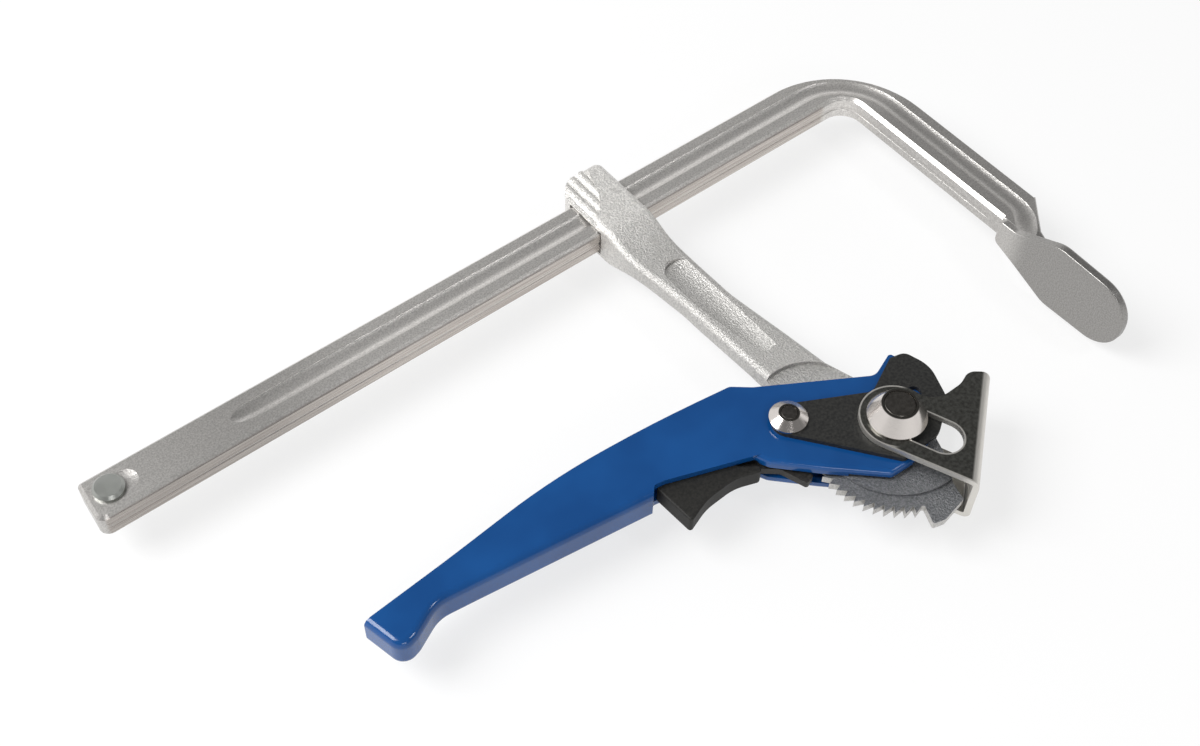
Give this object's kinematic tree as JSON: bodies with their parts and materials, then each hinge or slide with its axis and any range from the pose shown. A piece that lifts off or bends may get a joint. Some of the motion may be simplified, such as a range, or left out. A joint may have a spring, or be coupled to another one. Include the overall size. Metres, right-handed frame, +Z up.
{
  "type": "quick release bar clamp",
  "caption": "Quick release bar clamp: flat rail with a bent fixed arm and spade pad, a sliding arm, and a ratchet lever that pushes a slotted pressure plate.",
  "frame": {"origin": "middle of the spade pad's clamping face, level with the lever's main pivot and on the clamp's middle plane", "axes": "+X along the rail from its free end toward the bent arm, +Y from the jaws toward the rail, +Z up through the clamp's thickness as it lies on its side"},
  "size_m": [0.3852, 0.2136, 0.0388],
  "materials": {
    "plated_rail": "bright drawn and plated steel",
    "zinc_rivet": "zinc plated, satin",
    "cast_arm": "plated casting with a fine rough skin",
    "turned_steel": "turned, satin",
    "nickel_cap": "bright turned nickel",
    "blue_enamel": "glossy blue enamel",
    "black_cam": "satin black",
    "spring_wire": "spring wire",
    "black_trigger": "matt black moulding",
    "black_pawl": "blackened steel",
    "dark_plate": "dark satin steel with bright edges"
  },
  "bodies": {
    "frame": {"rail": "plated_rail", "stop_rivet": "zinc_rivet"},
    "arm": {"sliding_arm": "cast_arm", "pivot_pin": "turned_steel", "pivot_cap_upper": "nickel_cap", "pivot_cap_lower": "nickel_cap", "boss_washer_upper": "turned_steel", "boss_washer_lower": "turned_steel"},
    "lever": {"handle": "blue_enamel", "cam_plate_upper": "black_cam", "cam_plate_lower": "black_cam", "cam_rivet_upper": "turned_steel", "cam_rivet_lower": "turned_steel", "cam_cap_upper": "nickel_cap", "cam_cap_lower": "nickel_cap", "trigger_pin": "turned_steel", "trigger_spring": "spring_wire"},
    "slot_bushes": {"slot_bush_upper": "turned_steel", "slot_bush_lower": "turned_steel"},
    "plate": {"pressure_plate": "dark_plate"},
    "trigger": {"trigger": "black_trigger", "pawl": "black_pawl"}
  },
  "joints": [
    {"name": "arm_slide", "type": "slide", "parent": "frame", "child": "arm", "axis": [1, 0, 0], "range_m": [-0.21, 0.06]},
    {"name": "lever_swing", "type": "hinge", "parent": "arm", "child": "lever", "pos_m": [-0.107, 0, 0], "axis": [0, 0, 1], "range_deg": [0, 58]},
    {"name": "plate_swivel", "type": "hinge", "parent": "arm", "child": "slot_bushes", "pos_m": [-0.107, 0, 0], "axis": [0, 0, 1], "range_deg": [0, 60]},
    {"name": "plate_slide", "type": "slide", "parent": "slot_bushes", "child": "plate", "axis": [0.3875, -0.9219, 0], "range_m": [-0.003, 0]},
    {"name": "trigger_pull", "type": "hinge", "parent": "lever", "child": "trigger", "pos_m": [-0.158, 0.0295, 0], "axis": [0, 0, 1], "range_deg": [-12, 0], "stiffness_Nm_per_rad": 0.15, "springref_deg": 11.46}
  ],
  "couplings": [
    {"joint": "plate_slide", "follows": "lever_swing", "m_per_rad": -0.00296}
  ]
}
